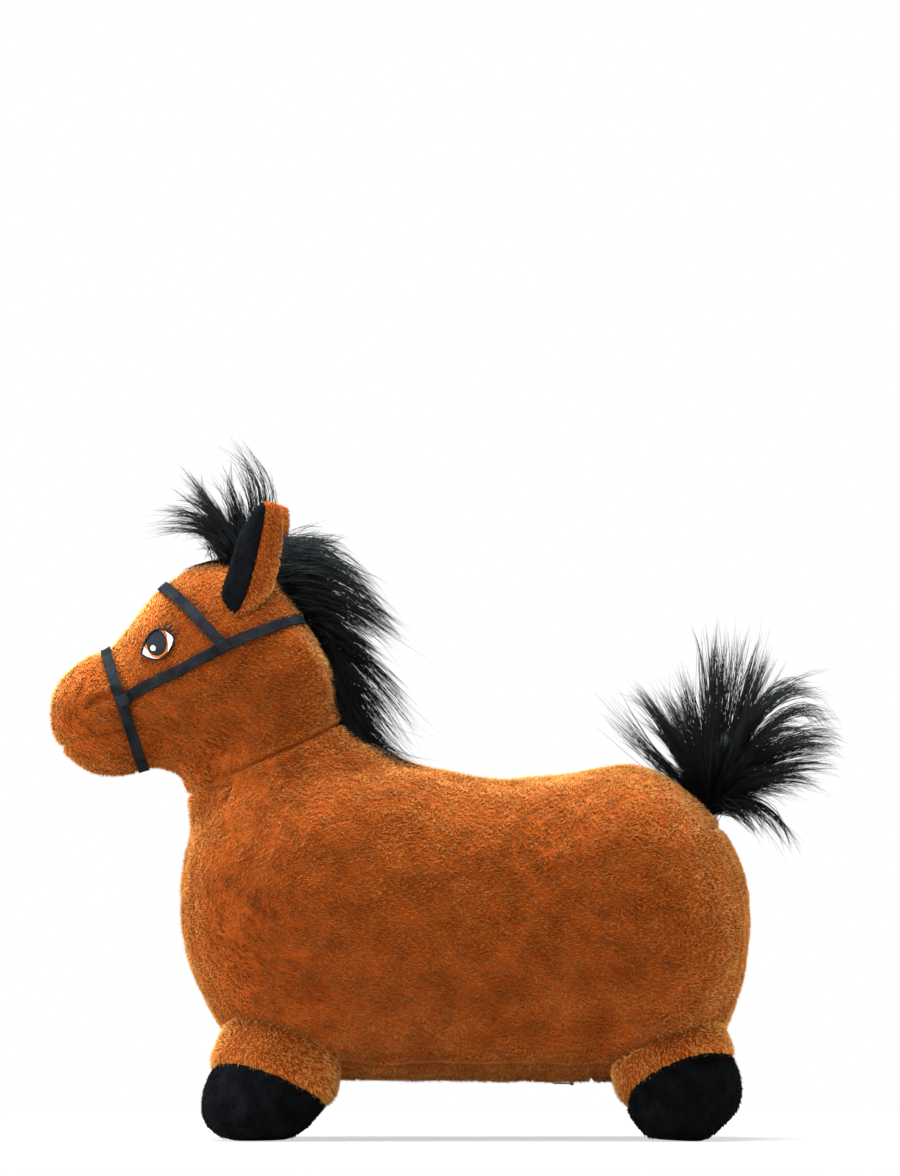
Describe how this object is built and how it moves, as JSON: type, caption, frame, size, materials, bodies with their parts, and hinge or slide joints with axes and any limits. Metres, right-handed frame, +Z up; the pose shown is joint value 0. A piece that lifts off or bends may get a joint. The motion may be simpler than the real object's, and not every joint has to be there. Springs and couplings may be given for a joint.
{
  "type": "bouncy ride-on animal",
  "caption": "Air-filled hopping horse in a sewn plush cover, with springy feet, folding ears, a flat ribbon bridle, tufted mane and tail, and a zip and air valve in the belly.",
  "frame": {"origin": "on the floor, under the middle of the box round the whole toy, hair included", "axes": "+X towards the tail, the nose points to -X; +Z up; -Y is the horse's left side, which faces the picture's camera"},
  "size_m": [0.6756, 0.25, 0.6019],
  "materials": {
    "brown_plush": "short brown plush pile",
    "black_velour": "matt black velour",
    "black_pile": "long black acrylic pile",
    "black_ribbon": "flat woven black ribbon with a soft sheen",
    "black_thread": "black embroidery thread",
    "white_thread": "white embroidery thread",
    "amber_thread": "amber embroidery thread",
    "grey_vinyl": "smooth grey PVC",
    "clear_vinyl": "pale translucent PVC",
    "white_fibre": "white polyester fibre",
    "brown_tape": "brown woven tape",
    "painted_zinc": "brown painted zinc"
  },
  "bodies": {
    "cover": {"belly_panel": "brown_plush", "chest_panel": "brown_plush", "rump_panel": "brown_plush", "side_panel_left": "brown_plush", "side_panel_right": "brown_plush", "head_left": "brown_plush", "head_right": "brown_plush", "muzzle_upper": "brown_plush", "muzzle_chin": "brown_plush", "muzzle_stuffing": "white_fibre", "leg_sleeve_front_left": "brown_plush", "leg_sleeve_front_right": "brown_plush", "leg_sleeve_rear_left": "brown_plush", "leg_sleeve_rear_right": "brown_plush", "forelock": "black_pile", "mane_upper": "black_pile", "mane_lower": "black_pile", "mane_strip_upper": "brown_tape", "mane_strip_lower": "brown_tape", "headstrap": "black_ribbon", "noseband": "black_ribbon", "browband": "black_ribbon", "tack_brow_left": "black_thread", "tack_brow_right": "black_thread", "tack_cheek_left": "black_thread", "tack_cheek_right": "black_thread", "eye_outline_left": "black_thread", "eye_outline_right": "black_thread", "eye_white_left": "white_thread", "eye_white_right": "white_thread", "eye_iris_left": "amber_thread", "eye_iris_right": "amber_thread", "eye_pupil_left": "black_thread", "eye_pupil_right": "black_thread", "eye_highlight_left": "white_thread", "eye_highlight_right": "white_thread", "bladder": "grey_vinyl", "valve_seat": "clear_vinyl", "zip_chain": "brown_tape", "zip_tape_left": "brown_tape", "zip_tape_right": "brown_tape"},
    "hoof_front_left": {"hoof_front_left": "black_velour"},
    "hoof_front_right": {"hoof_front_right": "black_velour"},
    "hoof_rear_left": {"hoof_rear_left": "black_velour"},
    "hoof_rear_right": {"hoof_rear_right": "black_velour"},
    "ear_left": {"ear_left": "brown_plush", "ear_lining_left": "black_velour"},
    "ear_right": {"ear_right": "brown_plush", "ear_lining_right": "black_velour"},
    "tail": {"tail_stub": "black_velour", "tail_tuft": "black_pile"},
    "zip_slider": {"zip_slider": "painted_zinc"},
    "zip_pull": {"zip_pull": "painted_zinc"},
    "valve_plug": {"valve_plug": "clear_vinyl"}
  },
  "joints": [
    {"name": "bounce_front_left", "type": "slide", "parent": "cover", "child": "hoof_front_left", "axis": [0, 0, 1], "range_m": [0, 0.008], "stiffness_N_per_m": 3000, "springref_m": -0.003, "deforming": ["leg_sleeve_front_left", "bladder"]},
    {"name": "bounce_front_right", "type": "slide", "parent": "cover", "child": "hoof_front_right", "axis": [0, 0, 1], "range_m": [0, 0.008], "stiffness_N_per_m": 3000, "springref_m": -0.003, "deforming": ["leg_sleeve_front_right", "bladder"]},
    {"name": "bounce_rear_left", "type": "slide", "parent": "cover", "child": "hoof_rear_left", "axis": [0, 0, 1], "range_m": [0, 0.008], "stiffness_N_per_m": 3000, "springref_m": -0.003, "deforming": ["leg_sleeve_rear_left", "bladder"]},
    {"name": "bounce_rear_right", "type": "slide", "parent": "cover", "child": "hoof_rear_right", "axis": [0, 0, 1], "range_m": [0, 0.008], "stiffness_N_per_m": 3000, "springref_m": -0.003, "deforming": ["leg_sleeve_rear_right", "bladder"]},
    {"name": "ear_fold_left", "type": "hinge", "parent": "cover", "child": "ear_left", "pos_m": [-0.16169, -0.06268, 0.44824], "axis": [1, 0, 0], "range_deg": [0, 35], "stiffness_Nm_per_rad": 0.4},
    {"name": "ear_fold_right", "type": "hinge", "parent": "cover", "child": "ear_right", "pos_m": [-0.16169, 0.06268, 0.44824], "axis": [-1, 0, 0], "range_deg": [0, 35], "stiffness_Nm_per_rad": 0.4},
    {"name": "tail_swing", "type": "hinge", "parent": "cover", "child": "tail", "pos_m": [0.23626, 0, 0.29324], "axis": [0, 0, 1], "range_deg": [-22, 22], "stiffness_Nm_per_rad": 0.3},
    {"name": "zip_slide", "type": "slide", "parent": "cover", "child": "zip_slider", "axis": [-1, 0, 0], "range_m": [0, 0.17], "deforming": ["zip_chain"]},
    {"name": "zip_pull_hinge", "type": "hinge", "parent": "zip_slider", "child": "zip_pull", "pos_m": [0.11639, 0, 0.04795], "axis": [0, -1, 0], "range_deg": [0, 165]},
    {"name": "valve_plug_pull", "type": "slide", "parent": "cover", "child": "valve_plug", "axis": [0, 0, -1], "range_m": [0, 0.008]}
  ]
}
